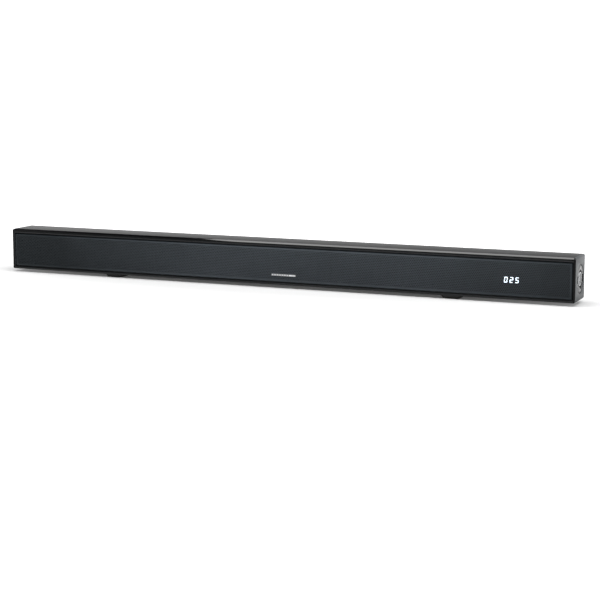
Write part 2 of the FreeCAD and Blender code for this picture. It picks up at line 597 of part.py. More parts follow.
def make_flat_socket(label, width, height, tongue_rise):
    """The sheet-metal shell of a flat socket; returns the plastic tongue that goes inside."""
    x = SOCKET_X[label]
    outer = block((f"{x} - {width} / 2", f"{x} + {width} / 2"), (f"{SOCKET_BACK} - 12", SOCKET_BACK),
                  (BOARD_TOP, f"{BOARD_TOP} + {height}"))
    hollow = block((f"{x} - {width} / 2 + 0.5", f"{x} + {width} / 2 - 0.5"),
                   (f"{SOCKET_BACK} - 11", f"{SOCKET_BACK} + 1"),
                   (f"{BOARD_TOP} + 0.5", f"{BOARD_TOP} + {height} - 0.5"))
    keep(cut(outer, [hollow]), f"{label}_socket")
    return block((f"{x} - {width} / 2 + 1.6", f"{x} + {width} / 2 - 1.6"),
                 (f"{SOCKET_BACK} - 11", f"{SOCKET_BACK} - 1"),
                 (f"{BOARD_TOP} + {tongue_rise}", f"{BOARD_TOP} + {tongue_rise} + 1.4"))


def make_optical_socket():
    """An optical socket with a sprung shutter hinged along its top edge."""
    x = SOCKET_X["optical"]
    body = block((f"{x} - 5", f"{x} + 5"), (f"{SOCKET_BACK} - 14", SOCKET_BACK),
                 (BOARD_TOP, f"{BOARD_TOP} + 11"))
    well = block((f"{x} - 4", f"{x} + 4"), (f"{SOCKET_BACK} - 11.5", f"{SOCKET_BACK} + 1"),
                 (f"{BOARD_TOP} + 1", f"{BOARD_TOP} + 10"))
    lens = rod("y", (f"{SOCKET_BACK} - 11.5", f"{SOCKET_BACK} - 10.3"), (x, f"{BOARD_TOP} + 5"), "1.2")
    keep(join([cut(body, [well]), lens]), "optical_socket")
    hinge = f"({BOARD_TOP} + 9.2)"
    flap_y = (f"{SOCKET_BACK} - 1.4", f"{SOCKET_BACK} - 0.6")
    flap = join([block((f"{x} - 3.8", f"{x} + 3.8"), flap_y, (f"{BOARD_TOP} + 1.3", hinge)),
                 rod("x", (f"{x} - 3.8", f"{x} + 3.8"), (f"{SOCKET_BACK} - 1", hinge), "0.5")])
    keep(flap, "optical_shutter")


def make_aux_socket():
    """A 3.5 mm jack socket."""
    x, axis = SOCKET_X["aux"], f"{BOARD_TOP} + 5"
    body = join([block((f"{x} - 5.5", f"{x} + 5.5"), (f"{SOCKET_BACK} - 14", f"{SOCKET_BACK} - 2"),
                       (BOARD_TOP, f"{BOARD_TOP} + 10")),
                 rod("y", (f"{SOCKET_BACK} - 2", SOCKET_BACK), (x, axis), "4")])
    keep(cut(body, [rod("y", (f"{SOCKET_BACK} - 13", f"{SOCKET_BACK} + 1"), (x, axis), "1.75")]), "aux_socket")


# ---------------------------------------------------------------- feet, keyholes, screws

def make_feet():
    for label, sign in (("foot_left", "-"), ("foot_right", "")):
        middle = f"{sign}foot_place"
        body = extrude("XY_Plane", ("0", BOTTOM),
                       [rectangle((f"{middle} - foot_width / 2", f"{middle} + foot_width / 2"),
                                  ("-foot_depth / 2", "foot_depth / 2"))], "foot")
        round_edges(body, "foot_corner", lambda p, d: abs(d.z) > 0.9)
        round_edges(body, 0.8, lambda p, d: abs(d.z) < 0.1 and near(p.z, 0))
        keep(body, label)


def make_keyhole_cups():
    """Closed cups behind the keyholes, so that the chambers stay airtight."""
    cups = []
    for sign in ("-", ""):
        middle = f"{sign}keyhole_place"
        z = (f"{KEYHOLE_Z} - 8", f"{KEYHOLE_Z} + 16")
        cup = block((f"{middle} - 9", f"{middle} + 9"), (f"{BACK_INSIDE} - 6", BACK_INSIDE), z)
        inside = block((f"{middle} - 7.5", f"{middle} + 7.5"), (f"{BACK_INSIDE} - 4.5", f"{BACK_INSIDE} + 1"),
                       (f"{z[0]} + 1.5", f"{z[1]} - 1.5"))
        cups.append(cut(cup, [inside]))
    keep(join(cups), "keyhole_cups")


def make_cabinet_screws():
    """Pan-head screws through the floor of the shell, higher than the feet stand."""
    screws = [join([rod("z", (f"{BOTTOM} - 1.2", BOTTOM), (place, SCREW_Y), "2.8"),
                    rod("z", (BOTTOM, f"{FLOOR_INSIDE} + 3"), (place, SCREW_Y), "screw_radius")])
              for place in SCREW_X]
    keep(join(screws), "cabinet_screws")


make_cabinet()
make_back_panel()
make_bay_frame()
make_top_sheet()
make_top_trim()
make_front_frame()
make_baffle()
make_grille()
make_badge()
make_end_cap("end_cap_left", "-")
make_end_cap("end_cap_right", "")
make_controls()
make_drivers()
make_ports()
make_chambers()
make_boards()
make_display()
make_socket_panel()
make_mains_inlet()
keep(join([make_flat_socket("hdmi", "15", "6", "2.8"), make_flat_socket("usb", "13.2", "5.8", "3.4")]),
     "socket_tongues")
make_optical_socket()
make_aux_socket()
make_feet()
make_keyhole_cups()
make_cabinet_screws()

# ---------------------------------------------------------------- checks and files

doc.recompute()
for item in doc.Objects:
    if "Invalid" in item.State or "Error" in item.State:
        raise RuntimeError(f"{item.Label} did not recompute")
os.makedirs("parts", exist_ok=True)
for piece in finished:
    if piece.Shape.isNull() or not piece.Shape.isValid():
        raise RuntimeError(f"{piece.Label} has no valid shape")
    piece.Shape.exportStep(f"parts/{piece.Label}.step")
print(len(finished), "sub-parts written")
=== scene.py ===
# %% [markdown]
# # A slim soundbar
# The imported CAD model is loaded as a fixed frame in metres. Every visible piece is then either the
# frame's own solid with a better finish, a softened copy of it, or a new piece modelled in its place.

# %% Load the frame
import json
import math

import bmesh
import bpy
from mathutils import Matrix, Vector


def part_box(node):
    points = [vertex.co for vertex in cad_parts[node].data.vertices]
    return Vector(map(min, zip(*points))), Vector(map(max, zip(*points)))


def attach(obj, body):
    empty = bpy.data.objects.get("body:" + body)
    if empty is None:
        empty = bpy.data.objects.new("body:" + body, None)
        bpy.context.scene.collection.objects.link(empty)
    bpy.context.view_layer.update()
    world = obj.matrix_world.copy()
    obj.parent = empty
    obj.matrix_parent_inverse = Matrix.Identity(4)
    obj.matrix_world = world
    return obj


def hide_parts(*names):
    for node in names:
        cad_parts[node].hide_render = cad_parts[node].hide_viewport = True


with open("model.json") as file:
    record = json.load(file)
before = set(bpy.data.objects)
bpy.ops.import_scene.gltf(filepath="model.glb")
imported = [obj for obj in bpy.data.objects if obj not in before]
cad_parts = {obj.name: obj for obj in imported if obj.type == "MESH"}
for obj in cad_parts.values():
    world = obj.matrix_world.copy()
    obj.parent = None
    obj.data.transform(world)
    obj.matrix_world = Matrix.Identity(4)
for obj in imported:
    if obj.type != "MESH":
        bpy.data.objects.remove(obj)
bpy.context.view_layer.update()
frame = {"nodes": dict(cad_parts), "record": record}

MM = 0.001
BODY = "cabinet"
RIGHT_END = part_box("end_cap_right")[1][0]
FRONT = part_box("front_frame")[0][1]
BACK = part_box("cabinet_shell")[1][1]
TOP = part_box("top_sheet")[1][2]
HAIR = 0.01 * MM  # how far from a plane still counts as on it
scene = bpy.context.scene
print("bar", round(2 * RIGHT_END / MM), "x", round((BACK - FRONT) / MM), "x", round(TOP / MM, 1), "mm")

# %% [markdown]
# ## The camera
# A long lens far away keeps the bar's edges almost parallel. The camera stands to the right of the bar,
# a little above it, and is aimed by two angles: how far it turns left and how far it looks down.

# %% Camera
camera_data = bpy.data.cameras.new("camera")
camera = bpy.data.objects.new("camera", camera_data)
scene.collection.objects.link(camera)
LOOKS_DOWN, TURNS_LEFT = math.radians(8.966), math.radians(23.273)
camera.location = (0.9766, -2.1989, 0.3576)
camera.rotation_euler = (math.pi / 2 - LOOKS_DOWN, 0, TURNS_LEFT)
camera_data.lens = 98.23
camera_data.sensor_width = 36
camera_data.clip_end = 50
scene.camera = camera
print("camera at", tuple(camera.location))

# %% [markdown]
# ## Working by hand in code
# Operators act on what is selected, so every helper deselects first. Faces and edges are picked by a
# test on their middle and direction, as a modeller would pick them by eye.

# %% Modelling helpers


def only(obj):
    """Select one object and make it active."""
    bpy.ops.object.select_all(action="DESELECT")
    obj.select_set(True)
    bpy.context.view_layer.objects.active = obj
    return obj


def edit(obj, kind="FACE"):
    """Open a piece for editing with nothing selected."""
    only(obj)
    bpy.ops.object.mode_set(mode="EDIT")
    bpy.ops.mesh.select_mode(type=kind)
    bpy.ops.mesh.select_all(action="DESELECT")


def leave():
    """Close the edit and keep its result."""
    bpy.ops.object.mode_set(mode="OBJECT")


def pick(obj, kind, wanted):
    """Select the faces, edges or corners that pass a test."""
    mesh = bmesh.from_edit_mesh(obj.data)
    mesh.normal_update()
    items = {"faces": mesh.faces, "edges": mesh.edges, "verts": mesh.verts}[kind]
    bpy.ops.mesh.select_all(action="DESELECT")
    for item in items:
        item.select = bool(wanted(item))
    mesh.select_flush_mode()
    bmesh.update_edit_mesh(obj.data)


def push(vector):
    """Extrude the selected faces by a vector."""
    bpy.ops.mesh.extrude_region_move(TRANSFORM_OT_translate={"value": vector})


def middle(edge):
    """The middle of an edge."""
    return (edge.verts[0].co + edge.verts[1].co) / 2


def along(edge, axis):
    """True when an edge runs along an axis, numbered 0 to 2."""
    return abs((edge.verts[1].co - edge.verts[0].co).normalized()[axis]) > 0.99


def settle(obj):
    """Bake an object's place, turn and size into its mesh, so that it sits at the origin."""
    only(obj)
    bpy.ops.object.transform_apply(location=True, rotation=True, scale=True)
    return obj


def block(name, low, high):
    """A box between two corners, ready for shaping."""
    low, high = Vector(low), Vector(high)
    bpy.ops.mesh.primitive_cube_add(size=1, location=(low + high) / 2, scale=high - low)
    obj = bpy.context.object
    obj.name = name
    return settle(obj)


def modify(obj, kind, **settings):
    """Add one modifier, set it up and apply it."""
    only(obj)
    modifier = obj.modifiers.new(kind.lower(), kind)
    for key, value in settings.items():
        setattr(modifier, key, value)
    bpy.ops.object.modifier_apply(modifier=modifier.name)
    return obj


def repeat(obj, count, step):
    """Array a piece a number of times, a step apart."""
    modify(obj, "ARRAY", count=count, use_relative_offset=False, use_constant_offset=True,
           constant_offset_displace=step)


def round_edges(obj, wanted, offset, segments):
    """Bevel the edges that pass a test."""
    pick(obj, "edges", wanted)
    bpy.ops.mesh.bevel(offset=offset, segments=segments)


def smooth(obj, degrees=35):
    """Shade the piece smooth, with creases where faces meet at more than an angle."""
    only(obj)
    bpy.ops.object.shade_smooth_by_angle(angle=math.radians(degrees))
    return obj


def merge(pieces, name):
    """Join several meshes into one piece."""
    bpy.ops.object.select_all(action="DESELECT")
    for piece in pieces:
        piece.select_set(True)
    bpy.context.view_layer.objects.active = pieces[0]
    bpy.ops.object.join()
    bpy.context.object.name = name
    return bpy.context.object


def mount(obj, material, stands_for=(), body=BODY):
    """Give a finished piece its finish and the body that it moves with."""
    if material is not None:
        obj.data.materials.clear()
        obj.data.materials.append(material)
    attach(obj, body)
    if stands_for:
        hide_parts(*stands_for)
    print(obj.name, len(obj.data.polygons), "faces")
    return obj


def two_tone(obj, material, wanted):
    """Give the faces that pass a test a second finish."""
    obj.data.materials.append(material)
    for face in obj.data.polygons:
        face.material_index = int(wanted(face))


SHARP = 30  # degrees; edges that turn by more are rounded


def softened(node, width, segments=2):
    """A copy of a CAD solid whose sharp edges are rounded a little, as moulded parts are."""
    obj = frame["nodes"][node].copy()
    obj.data = obj.data.copy()
    obj.name = node + "_finished"
    scene.collection.objects.link(obj)
    obj.parent = None
    edit(obj, "VERT")
    bpy.ops.mesh.select_all(action="SELECT")
    bpy.ops.mesh.remove_doubles(threshold=0.002 * MM)
    bpy.ops.mesh.dissolve_limited(angle_limit=math.radians(1))
    leave()
    modify(obj, "BEVEL", width=width, segments=segments, limit_method="ANGLE",
           angle_limit=math.radians(SHARP), use_clamp_overlap=True)
    return smooth(obj, SHARP)


# %% [markdown]
# ## Finishes
# Shader maths is written as plain expressions: a small class wraps a socket, and each operator adds a
# Math node. Every other node comes from one method.

# %% A finish under construction


class Value:
    """A number in a shader that can be calculated with."""

    def __init__(self, finish, socket):
        self.finish, self.socket = finish, socket

    def _with(self, other, operation):
        return self.finish.node("ShaderNodeMath", {"operation": operation}, {0: self, 1: other})

    def __add__(self, other):
        return self._with(other, "ADD")

    def __sub__(self, other):
        return self._with(other, "SUBTRACT")

    def __mul__(self, other):
        return self._with(other, "MULTIPLY")


class Finish:
    """One material, built round a Principled shader."""

    def __init__(self, name, color, roughness, **uniform):
        self.material = bpy.data.materials.new(name)
        self.material.use_nodes = True
        self.tree = self.material.node_tree
        self.shader = self.tree.nodes["Principled BSDF"]
        self.shader.inputs["Base Color"].default_value = (*color, 1)
        self.shader.inputs["Roughness"].default_value = roughness
        for key, value in uniform.items():
            self.shader.inputs[key.replace("_", " ")].default_value = value
        self.material.diffuse_color = (*color, 1)

    def node(self, kind, settings, sockets, output=0):
        """Add a node: its settings first, then a value or a link for each of its sockets."""
        node = self.tree.nodes.new(kind)
        for key, value in settings.items():
            setattr(node, key, value)
        for key, value in sockets.items():
            if isinstance(value, Value):
                self.tree.links.new(value.socket, node.inputs[key])
            else:
                node.inputs[key].default_value = value
        return Value(self, node.outputs[output])

    def place(self, scale=(1, 1, 1)):
        """Object coordinates in metres, stretched by a scale."""
        at = self.node("ShaderNodeTexCoord", {}, {}, "Object")
        return self.node("ShaderNodeMapping", {}, {"Vector": at, "Scale": scale})

    def noise(self, size, detail=2, stretch=(1, 1, 1)):
        """Cloudy noise whose blotches are about one size across, in metres."""
        return self.node("ShaderNodeTexNoise", {},
                         {"Vector": self.place(stretch), "Scale": 1 / size, "Detail": detail})

    def between(self, mask, low, high):
        """A number that runs from low to high as the mask runs from 0 to 1."""
        return mask * (high - low) + low

    def blend(self, mask, first, second):
        """A colour between two others."""
        return self.node("ShaderNodeMix", {"data_type": "RGBA"},
                         {0: mask, 6: (*first, 1), 7: (*second, 1)}, 2)

    def drive(self, socket, value):
        """Link a varying value to one of the Principled shader's sockets."""
        self.tree.links.new(value.socket, self.shader.inputs[socket])

    def bump(self, height, distance):
        """Raise the surface by a height, as fine relief."""
        relief = self.node("ShaderNodeBump", {}, {"Height": height, "Distance": distance, "Strength": 1})
        self.drive("Normal", relief)


def grained(name, color, roughness, grain, depth, vary, **uniform):
    """Moulded plastic or paint with a fine grain and slightly uneven gloss."""
    finish = Finish(name, color, roughness, **uniform)
    fine = finish.noise(grain, 3)
    broad = finish.noise(18 * MM, 3)
    darker, lighter = (tuple(share * part for part in color) for share in (0.82, 1.16))
    finish.drive("Base Color", finish.blend(broad, darker, lighter))
    uneven = fine * 0.5 + broad * 0.5
    finish.drive("Roughness", finish.between(uneven, roughness - vary, roughness + vary))
    finish.bump(fine, depth)
    return finish.material


# %% [markdown]
# ### The bar's own finishes
# The shell, top and rims are dark moulded plastic in three sheens, the end caps are a lighter grey, the
# grille is powder-coated steel, and the small bright parts are brushed or plated metal.

# %% Plastics, paints and rubber
# Each row: colour, roughness, size and depth of the grain in millimetres, how much the gloss varies.
MOULDED = {
    "shell_plastic": ((0.022, 0.023, 0.025), 0.52, 0.45, 0.03, 0.06, {}),
    "top_satin": ((0.022, 0.022, 0.023), 0.42, 0.3, 0.01, 0.06, {"Specular_IOR_Level": 0.17}),
    "frame_satin": ((0.006, 0.007, 0.008), 0.34, 0.3, 0.008, 0.06, {"Specular_IOR_Level": 0.27}),
    # Near-black with little reflection: painted shade for the faces that stand in the grooves beside the
    # rims.
    "shade_black": ((0.002, 0.0022, 0.0025), 0.3, 0.3, 0.004, 0.06, {"Specular_IOR_Level": 0.12}),
    "cap_plastic": ((0.038, 0.0435, 0.048), 0.5, 0.4, 0.03, 0.06, {}),
    "trim_gloss": ((0.002, 0.002, 0.0024), 0.08, 2, 0.001, 0.03, {}),
    "key_gloss": ((0.3, 0.31, 0.32), 0.22, 0.6, 0.003, 0.05, {"Metallic": 0.75}),
    "key_dark": ((0.05, 0.052, 0.055), 0.32, 0.6, 0.003, 0.05,
                 {"Metallic": 0.1, "Specular_IOR_Level": 0.25}),
    "bezel_gloss": ((0.004, 0.004, 0.005), 0.25, 0.8, 0.003, 0.05, {"Specular_IOR_Level": 0.08}),
    "foot_rubber": ((0.012, 0.012, 0.012), 0.75, 0.5, 0.05, 0.06, {}),
    "socket_plastic": ((0.008, 0.008, 0.009), 0.45, 0.3, 0.01, 0.06, {}),
    "baffle_plastic": ((0.01, 0.01, 0.011), 0.6, 0.6, 0.04, 0.06, {}),
    "cone_paper": ((0.02, 0.02, 0.022), 0.7, 0.5, 0.05, 0.06, {}),
    "surround_rubber": ((0.012, 0.012, 0.013), 0.5, 0.4, 0.01, 0.06, {}),
    "basket_paint": ((0.02, 0.02, 0.021), 0.35, 0.4, 0.01, 0.06, {"Metallic": 0.3}),
    "display_dark": ((0.004, 0.004, 0.005), 0.12, 1, 0.001, 0.03, {}),
    "mark_white": ((0.75, 0.76, 0.78), 0.45, 0.4, 0.004, 0.06, {}),
    "ferrite": ((0.05, 0.05, 0.052), 0.4, 0.5, 0.02, 0.08, {"Metallic": 0.4}),
    "parts_mixed": ((0.2, 0.2, 0.21), 0.4, 1.5, 0.02, 0.1, {"Metallic": 0.5}),
}
plain = {name: grained(name, color, roughness, grain * MM, depth * MM, vary, **uniform)
         for name, (color, roughness, grain, depth, vary, uniform) in MOULDED.items()}
print(len(plain), "moulded finishes ready")

# %% Grille paint
# The powder coat is faintly mottled, and its colour is painted darker towards the two ends of the bar as
# painted shade, where the light falls off.
grille_coat = Finish("grille_paint", (0.03, 0.035, 0.04), 0.5, Specular_IOR_Level=0.22)
length_place = grille_coat.node("ShaderNodeSeparateXYZ", {}, {0: grille_coat.place()})
from_middle = (length_place - 0.05) * (1 / RIGHT_END)
ends = grille_coat.node("ShaderNodeMath", {"operation": "SMOOTH_MAX"},
                        {0: from_middle * from_middle, 1: 0.12, 2: 0.2})
mottle = grille_coat.noise(60 * MM, 3, (0.6, 1, 1))
# Painted shade: the paint darkens towards both ends of the bar, mixed with a random mottle.
end_shade_and_mottle = ends * 1.2 + mottle * 0.6 - 0.3
grille_coat.drive("Base Color", grille_coat.blend(end_shade_and_mottle, (0.059, 0.070, 0.081), (0.014, 0.019, 0.0225)))
pimples = grille_coat.noise(0.25 * MM, 3)
grille_coat.drive("Roughness", grille_coat.between(pimples, 0.45, 0.6))
grille_coat.bump(pimples, 0.01 * MM)
grille_paint = grille_coat.material
print("grille paint ready")

# %% Metal, felt, circuit boards and light
badge_metal = Finish("badge_metal", (0.2, 0.205, 0.21), 0.35, Metallic=1.0)
strokes = badge_metal.noise(0.35 * MM, 4, (0.02, 1, 1))
badge_metal.drive("Roughness", badge_metal.between(strokes, 0.3, 0.55))
badge_metal.bump(strokes, 0.01 * MM)

plated_steel = Finish("plated_steel", (0.55, 0.55, 0.56), 0.28, Metallic=1.0)
stains = plated_steel.noise(3 * MM, 4)
plated_steel.drive("Roughness", plated_steel.between(stains, 0.18, 0.42))
plated_steel.drive("Base Color", plated_steel.blend(stains, (0.44, 0.44, 0.46), (0.66, 0.66, 0.67)))

felt = Finish("felt", (0.2, 0.2, 0.2), 0.95)
fibres = felt.noise(0.4 * MM, 6)
felt.drive("Base Color", felt.blend(fibres, (0.1, 0.1, 0.1), (0.34, 0.34, 0.33)))
felt.bump(fibres, 0.3 * MM)

board_mask = Finish("board_mask", (0.01, 0.09, 0.035), 0.3)
tracks = board_mask.node("ShaderNodeTexBrick", {}, {"Vector": board_mask.place(), "Scale": 260}, "Fac")
board_mask.drive("Base Color", board_mask.blend(tracks, (0.008, 0.075, 0.03), (0.02, 0.15, 0.06)))
board_mask.bump(tracks, 0.03 * MM)

grille_cloth = Finish("grille_cloth", (0.006, 0.006, 0.007), 0.95)
threads = grille_cloth.noise(0.3 * MM, 3)
grille_cloth.drive("Base Color",
                   grille_cloth.blend(threads, (0.004, 0.004, 0.005), (0.012, 0.012, 0.014)))

digit_glow = Finish("digit_glow", (0.8, 0.9, 1.0), 0.4, Emission_Strength=0.9)
hot = digit_glow.noise(2 * MM, 1)
digit_glow.drive("Emission Color", digit_glow.blend(hot, (0.75, 0.88, 1.0), (0.95, 0.98, 1.0)))
print("metals, felt and light ready")

# %% [markdown]
# ### Frame solids that keep their shape
# Parts whose CAD shape is already right only need a finish. The record's slot of each node says which.

# %% Finishes for the CAD nodes
FINISH_OF_SLOT = {
    "shell": plain["shell_plastic"], "top": plain["top_satin"], "trim_gloss": plain["trim_gloss"],
    "frame_satin": plain["frame_satin"], "grille_steel": grille_paint, "nameplate": badge_metal.material,
    "cap_grey": plain["cap_plastic"], "bezel_gloss": plain["bezel_gloss"], "key_silver": plain["key_gloss"],
    "rubber": plain["foot_rubber"], "baffle_black": plain["baffle_plastic"],
    "basket_steel": plain["basket_paint"], "magnet": plain["ferrite"], "cone_paper": plain["cone_paper"],
    "surround": plain["surround_rubber"], "felt": felt.material, "board_green": board_mask.material,
    "components": plain["parts_mixed"], "socket_black": plain["socket_plastic"],
    "steel": plated_steel.material, "display_dark": plain["display_dark"],
    "digit_white": digit_glow.material, "shutter": plain["socket_plastic"],
}
slot_of_node = {part["node"]: part["material_slot"] for part in frame["record"]["subparts"]}
for node, obj in frame["nodes"].items():
    obj.data.materials.clear()
    obj.data.materials.append(FINISH_OF_SLOT[slot_of_node[node]])
print(len(slot_of_node), "CAD nodes finished")

# %% [markdown]
# ## Shell, rims and caps
# Real mouldings have no knife edges. Each of these is a copy of the CAD solid with its sharp edges
# bevelled by a few tenths of a millimetre, so that they catch a thin highlight.

# %% Softened mouldings
SOFT_EDGES = {
    "cabinet_shell": 0.3, "back_panel": 0.3, "bay_frame": 0.3, "top_sheet": 0.25, "top_trim": 0.35,
    "front_frame": 0.3, "end_cap_left": 0.25, "end_cap_right": 0.25, "button_bezel": 0.3,
    "socket_panel": 0.3, "port_tube_left": 0.3, "port_tube_right": 0.3, "mains_inlet": 0.25,
    "aux_socket": 0.25, "optical_socket": 0.2, "optical_shutter": 0.15, "hdmi_socket": 0.12,
    "usb_socket": 0.12,
}
CAP_FRONT = 4 * MM
for node, width in SOFT_EDGES.items():
    body = "optical_shutter" if node == "optical_shutter" else BODY
    slot = slot_of_node[node]
    piece = mount(softened(node, width * MM), FINISH_OF_SLOT[slot], (node,), body)
    if node.startswith("end_cap"):
        # The front of each cap is black like the rims, and made dull as painted shade of the groove beside
        # the grille; its side is grey.
        two_tone(piece, plain["shade_black"],
                 lambda face: face.normal.y < -0.35 and face.center.y < FRONT + CAP_FRONT)
    if node == "top_trim":
        # Only the bevel is polished; the narrow upright face below it is a dull black line, painted shade
        # of the groove between the top and the frame.
        two_tone(piece, plain["shade_black"], lambda face: face.normal.y < -0.9)

# %% [markdown]
# ## The grille
# A grille like this is a steel tray: a smooth rolled rim round a field of small holes in a honeycomb
# pattern, with black cloth behind. One honeycomb cell is modelled and arrayed. Each hole is blind, and
# its floor is the cloth, which keeps the piece closed and light.

# %% Grille rim
LOW, HIGH = (Vector(corner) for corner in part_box("grille"))
RIM, ROLL = 3.2 * MM, 2.6 * MM
HOLE_DEPTH = 0.9 * MM
FIELD_Y = LOW.y + 0.2 * MM

rim = block("grille_rim", LOW, HIGH)
edit(rim)
pick(rim, "faces", lambda face: face.normal.y < -0.9)
bpy.ops.mesh.inset(thickness=RIM)
push((0, HOLE_DEPTH + 0.6 * MM, 0))


def on_front_outline(edge):
    """True for the four outer edges of the tray's front."""
    at = middle(edge)
    on_side = min(abs(at.x - LOW.x), abs(at.x - HIGH.x), abs(at.z - LOW.z), abs(at.z - HIGH.z)) < HAIR
    return on_side and abs(at.y - LOW.y) < HAIR


round_edges(rim, on_front_outline, ROLL, 8)
leave()
smooth(rim)
mount(rim, grille_paint, ("grille",))

# %% Perforated field
PITCH = 2.7 * MM
HOLE_SHARE = 0.68
CELL = PITCH / math.sqrt(3)
ROW_PAIR = PITCH * math.sqrt(3)
UNDER_RIM = 0.2 * MM
field_low = Vector((LOW.x + RIM - UNDER_RIM, FIELD_Y, LOW.z + RIM - UNDER_RIM))
field_high = Vector((HIGH.x - RIM + UNDER_RIM, FIELD_Y, HIGH.z - RIM + UNDER_RIM))
columns = math.ceil((field_high.x - field_low.x) / PITCH) + 2
row_pairs = math.ceil((field_high.z - field_low.z) / ROW_PAIR) + 1

bpy.ops.object.select_all(action="DESELECT")
bpy.ops.mesh.primitive_circle_add(vertices=6, radius=CELL, fill_type="NGON", location=field_low,
                                  rotation=(math.radians(90), 0, 0))
field = settle(bpy.context.object)
field.name = "grille_field"
edit(field)
bpy.ops.mesh.select_all(action="SELECT")
bpy.ops.mesh.inset(thickness=CELL * (1 - HOLE_SHARE) * math.sqrt(3) / 2)
push((0, HOLE_DEPTH, 0))
leave()
field.data.materials.append(grille_paint)
two_tone(field, grille_cloth.material, lambda face: face.center.y > FIELD_Y + 0.9 * HOLE_DEPTH)

# The second row of the honeycomb sits half a pitch over, and the pair then repeats.
repeat(field, 2, (PITCH / 2, 0, ROW_PAIR / 2))
repeat(field, row_pairs, (0, 0, ROW_PAIR))
repeat(field, columns, (PITCH, 0, 0))
edit(field, "VERT")
bpy.ops.mesh.select_all(action="SELECT")
bpy.ops.mesh.remove_doubles(threshold=0.02 * MM)
for point, normal in ((field_low, (-1, 0, 0)), (field_low, (0, 0, -1)),
                      (field_high, (1, 0, 0)), (field_high, (0, 0, 1))):
    bpy.ops.mesh.select_all(action="SELECT")
    bpy.ops.mesh.bisect(plane_co=point, plane_no=normal, clear_outer=True, use_fill=False)

# The open border is drawn back to one level and closed, so that the field is a solid sheet.
FIELD_BACK = FIELD_Y + HOLE_DEPTH + 0.4 * MM
bpy.ops.mesh.select_mode(type="EDGE")
pick(field, "edges", lambda edge: edge.is_boundary)
bpy.ops.mesh.extrude_edges_move(TRANSFORM_OT_translate={"value": (0, 0, 0)})
bpy.ops.transform.resize(value=(1, 0, 1), center_override=(0, FIELD_BACK, 0))
bpy.ops.mesh.remove_doubles(threshold=0.002 * MM)
pick(field, "edges", lambda edge: edge.is_boundary)
bpy.ops.mesh.edge_face_add()
bpy.ops.mesh.select_all(action="SELECT")
bpy.ops.mesh.normals_make_consistent(inside=False)
loose_edges = len([edge for edge in bmesh.from_edit_mesh(field.data).edges if not edge.is_manifold])
leave()
print("open edges left in the field:", loose_edges)
print("grille field", len(field.data.polygons), "faces")
mount(field, None, ("grille",))

# %% [markdown]
# ## The badge
# A thin brushed plate, a little proud of the grille, with no lettering.

# %% Badge
low, high = (Vector(corner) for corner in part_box("badge"))
badge = block("badge_plate", low, (high.x, high.y + 0.5 * MM, high.z))
edit(badge, "EDGE")
round_edges(badge, lambda edge: along(edge, 1), 1.0 * MM, 4)
round_edges(badge, lambda edge: middle(edge).y < low.y + HAIR and not along(edge, 1), 0.18 * MM, 3)
leave()
mount(smooth(badge), badge_metal.material, ("badge",))

# %% Ticks along the badge
# A plain ruler-like row of bright ticks and one long bar fills the plate.
TICK, TICK_STEP, TICK_COUNT = 1.5 * MM, 2.7 * MM, 10
SIDE_MARGIN, EDGE_MARGIN = 1.2 * MM, 0.7 * MM
ticks = []
for count in range(TICK_COUNT + 1):
    start = low.x + SIDE_MARGIN + count * TICK_STEP
    end = start + TICK if count < TICK_COUNT else high.x - SIDE_MARGIN
    tick = block("tick", (start, low.y - 0.02 * MM, low.z + EDGE_MARGIN),
                 (end, low.y + 0.1 * MM, high.z - EDGE_MARGIN))
    edit(tick, "EDGE")
    round_edges(tick, lambda edge: along(edge, 1), 0.25 * MM, 2)
    leave()
    ticks.append(tick)
mount(merge(ticks, "badge_ticks"), plain["mark_white"])

# %% [markdown]
# ## The display
# Seven-bar digits shine through the grille. Each digit leans a little, and only the bars that are lit
# are made; they lie as a thin film of light on the front of the grille.

# %% Lit digits
BARS_LIT = {"0": "abcdef", "2": "abged", "5": "afgcd"}
TALL, WIDE, THICK, LEAN = 8.0 * MM, 4.8 * MM, 1.15 * MM, math.radians(8)
DIGIT_STEP = 8.0 * MM
FILM = Vector((0, 0.02 * MM, 0))
digit_y = FIELD_Y - 0.04 * MM
digits_low, digits_high = (Vector(corner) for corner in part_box("display_digits"))
digits_middle = (digits_low + digits_high) / 2


def bar(centre, flat):
    """One lit bar with pointed ends, lying or standing."""
    length = (WIDE if flat else TALL / 2) - THICK * 0.35
    half = Vector((length / 2, 0, THICK / 2)) if flat else Vector((THICK / 2, 0, length / 2))
    piece = block("bar", centre - half - FILM, centre + half + FILM)
    edit(piece, "EDGE")
    round_edges(piece, lambda edge: along(edge, 1), THICK * 0.42, 1)
    leave()
    return piece


def digit(figure, x):
    """The lit bars of one figure, leaning to the right."""
    places = {"a": (0, 1, True), "b": (1, 0.5, False), "c": (1, -0.5, False), "d": (0, -1, True),
              "e": (-1, -0.5, False), "f": (-1, 0.5, False), "g": (0, 0, True)}
    pieces = []
    for name in BARS_LIT[figure]:
        side, level, flat = places[name]
        rise = level * (TALL - THICK) / 2
        centre = Vector((x + side * (WIDE - THICK) / 2 + rise * math.tan(LEAN), digit_y,
                         digits_middle.z + rise))
        piece = bar(centre, flat)
        if not flat:
            edit(piece)
            bpy.ops.mesh.select_all(action="SELECT")
            bpy.ops.transform.rotate(value=LEAN, orient_axis="Y", center_override=centre)
            leave()
        pieces.append(piece)
    return pieces


lit = []
for place, figure in zip((-1, 0, 1), "025"):
    lit += digit(figure, digits_middle.x + place * DIGIT_STEP)
mount(merge(lit, "display_figures"), digit_glow.material, ("display_digits",))

# %% [markdown]
# ## The buttons
# The power button is a dished disc, a bright ring round a dark centre. A crescent above and below it
# carries a plus and a minus. All of them stay just inside the end face.

